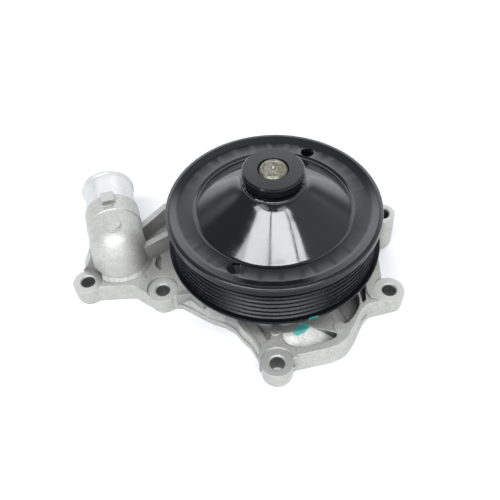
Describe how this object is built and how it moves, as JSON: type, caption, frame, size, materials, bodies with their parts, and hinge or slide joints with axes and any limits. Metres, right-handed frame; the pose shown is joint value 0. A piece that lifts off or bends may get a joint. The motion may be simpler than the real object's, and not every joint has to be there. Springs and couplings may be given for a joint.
{
  "type": "automotive water pump",
  "caption": "Belt-driven coolant pump: cast aluminium housing with hose neck and bolt ears, black ribbed pulley on a sealed bearing shaft, impeller at the rear.",
  "frame": {"origin": "where the shaft axis meets the gasket plane", "axes": "+Z along the shaft from the gasket plane to the pulley; -X towards the hose neck; +Y the way the hose spigot opens"},
  "size_m": [0.2049, 0.1607, 0.0946],
  "materials": {
    "cast_aluminium": "as-cast, fine sand grain, satin",
    "machined_aluminium": "turned, bright satin",
    "black_paint": "glossy black electrocoat",
    "shaft_steel": "ground, slightly oiled",
    "bearing_steel": "ground and polished",
    "cage_polyamide": "natural polyamide",
    "seal_rubber": "matt black nitrile",
    "bearing_seal_rubber": "matt brown nitrile",
    "seal_brass": "drawn sheet, satin",
    "spring_steel": "stainless wire",
    "seal_carbon": "lapped carbon, dull",
    "silicon_carbide": "lapped, semi-gloss",
    "impeller_plastic": "glass-filled, moulded"
  },
  "bodies": {
    "housing": {"pump_housing": "cast_aluminium", "hose_spigot": "machined_aluminium", "bearing_outer_ring": "bearing_steel", "bearing_seal_front": "bearing_seal_rubber", "bearing_seal_rear": "bearing_seal_rubber", "seal_case": "seal_brass", "seal_bellows": "seal_rubber", "seal_drive_band": "spring_steel", "seal_spring": "spring_steel", "seal_carbon_ring": "seal_carbon"},
    "rotor": {"pulley": "black_paint", "pulley_hub": "black_paint", "shaft": "shaft_steel", "seal_mating_ring": "silicon_carbide", "mating_ring_boot": "seal_rubber", "water_slinger": "bearing_steel", "impeller": "impeller_plastic", "impeller_bush": "seal_brass"},
    "ball_set": {"bearing_balls": "bearing_steel", "ball_cage": "cage_polyamide"},
    "roller_set": {"bearing_rollers": "bearing_steel", "roller_cage": "cage_polyamide"}
  },
  "joints": [
    {"name": "rotor_spin", "type": "hinge", "parent": "housing", "child": "rotor", "pos_m": [0, 0, 0.05], "axis": [0, 0, 1], "continuous": true},
    {"name": "ball_set_spin", "type": "hinge", "parent": "housing", "child": "ball_set", "pos_m": [0, 0, 0.065], "axis": [0, 0, 1], "continuous": true},
    {"name": "roller_set_spin", "type": "hinge", "parent": "housing", "child": "roller_set", "pos_m": [0, 0, 0.0465], "axis": [0, 0, 1], "continuous": true}
  ],
  "couplings": [
    {"joint": "ball_set_spin", "follows": "rotor_spin", "ratio": 0.365},
    {"joint": "roller_set_spin", "follows": "rotor_spin", "ratio": 0.399}
  ]
}
